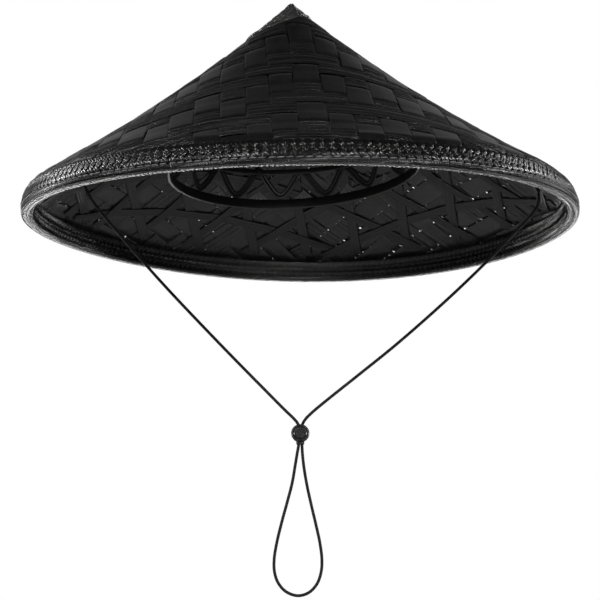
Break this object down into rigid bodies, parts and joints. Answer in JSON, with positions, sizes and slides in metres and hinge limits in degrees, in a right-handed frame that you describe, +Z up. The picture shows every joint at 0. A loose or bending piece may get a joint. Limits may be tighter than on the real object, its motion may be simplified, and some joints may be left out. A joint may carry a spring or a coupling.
{
  "type": "conical hat",
  "caption": "Woven bamboo conical hat, dyed black, with a lattice lining, a head ring and a chin cord with a sliding lock.",
  "frame": {"origin": "head seat: the point of the hat's axis at the level of the head ring's lower hoop", "axes": "+Z up the cone's axis to its tip, -Y towards the wearer's face side, +X to the right when looking at the hat's front from -Y"},
  "size_m": [0.4202, 0.42, 0.4565],
  "materials": {
    "woven_shell": "satin dyed bamboo strip, finely grooved",
    "lining": "satin dyed bamboo strip",
    "rim_braid": "glossy dyed plait",
    "hoop": "satin dyed cane",
    "thread": "waxed sewing thread",
    "cord": "braided round elastic",
    "lock_plastic": "satin moulded",
    "spring_steel": "bright wire"
  },
  "bodies": {
    "hat": {"woven_shell": "woven_shell", "lining_lattice": "lining", "rim_braid_outer": "rim_braid", "rim_braid_inner": "rim_braid", "rim_hoop_outer": "hoop", "rim_hoop_inner": "hoop", "rim_braid_foot": "rim_braid", "rim_edge_binding": "rim_braid", "rim_sewing_thread": "thread", "apex_cap": "woven_shell", "apex_knot": "woven_shell", "ring_hoop_lower": "hoop", "ring_hoop_upper": "hoop", "ring_loop_01": "hoop", "ring_loop_02": "hoop", "ring_loop_03": "hoop", "ring_loop_04": "hoop", "ring_loop_05": "hoop", "ring_loop_06": "hoop", "ring_loop_07": "hoop", "ring_loop_08": "hoop", "ring_loop_09": "hoop", "ring_loop_10": "hoop", "ring_loop_11": "hoop", "ring_loop_12": "hoop", "ring_loop_13": "hoop", "ring_loop_14": "hoop", "ring_loop_15": "hoop", "ring_loop_16": "hoop", "ring_lashing_1": "lining", "ring_lashing_2": "lining", "ring_lashing_3": "lining", "ring_lashing_4": "lining", "ring_lashing_5": "lining", "ring_lashing_6": "lining", "ring_lashing_7": "lining", "ring_lashing_8": "lining", "cord_anchor_left": "cord", "cord_anchor_right": "cord"},
    "chin_strap": {"chin_cord_left": "cord", "chin_cord_right": "cord", "chin_cord_loop": "cord"},
    "cord_lock": {"lock_housing": "lock_plastic", "lock_spring": "spring_steel"},
    "button": {"lock_button": "lock_plastic"}
  },
  "joints": [
    {"name": "chin_strap_swing", "type": "hinge", "parent": "hat", "child": "chin_strap", "pos_m": [-0.165, 0, -0.0052], "axis": [0.9994, 0, -0.0335], "range_deg": [-75, 75]},
    {"name": "cord_lock_slide", "type": "slide", "parent": "chin_strap", "child": "cord_lock", "axis": [0, 0, 1], "range_m": [-0.07, 0.07], "deforming": ["chin_cord_left", "chin_cord_right", "chin_cord_loop"]},
    {"name": "lock_button_press", "type": "slide", "parent": "cord_lock", "child": "button", "axis": [0, 1, 0], "range_m": [0, 0.0024], "stiffness_N_per_m": 900, "springref_m": -0.002, "deforming": ["lock_spring"]}
  ]
}
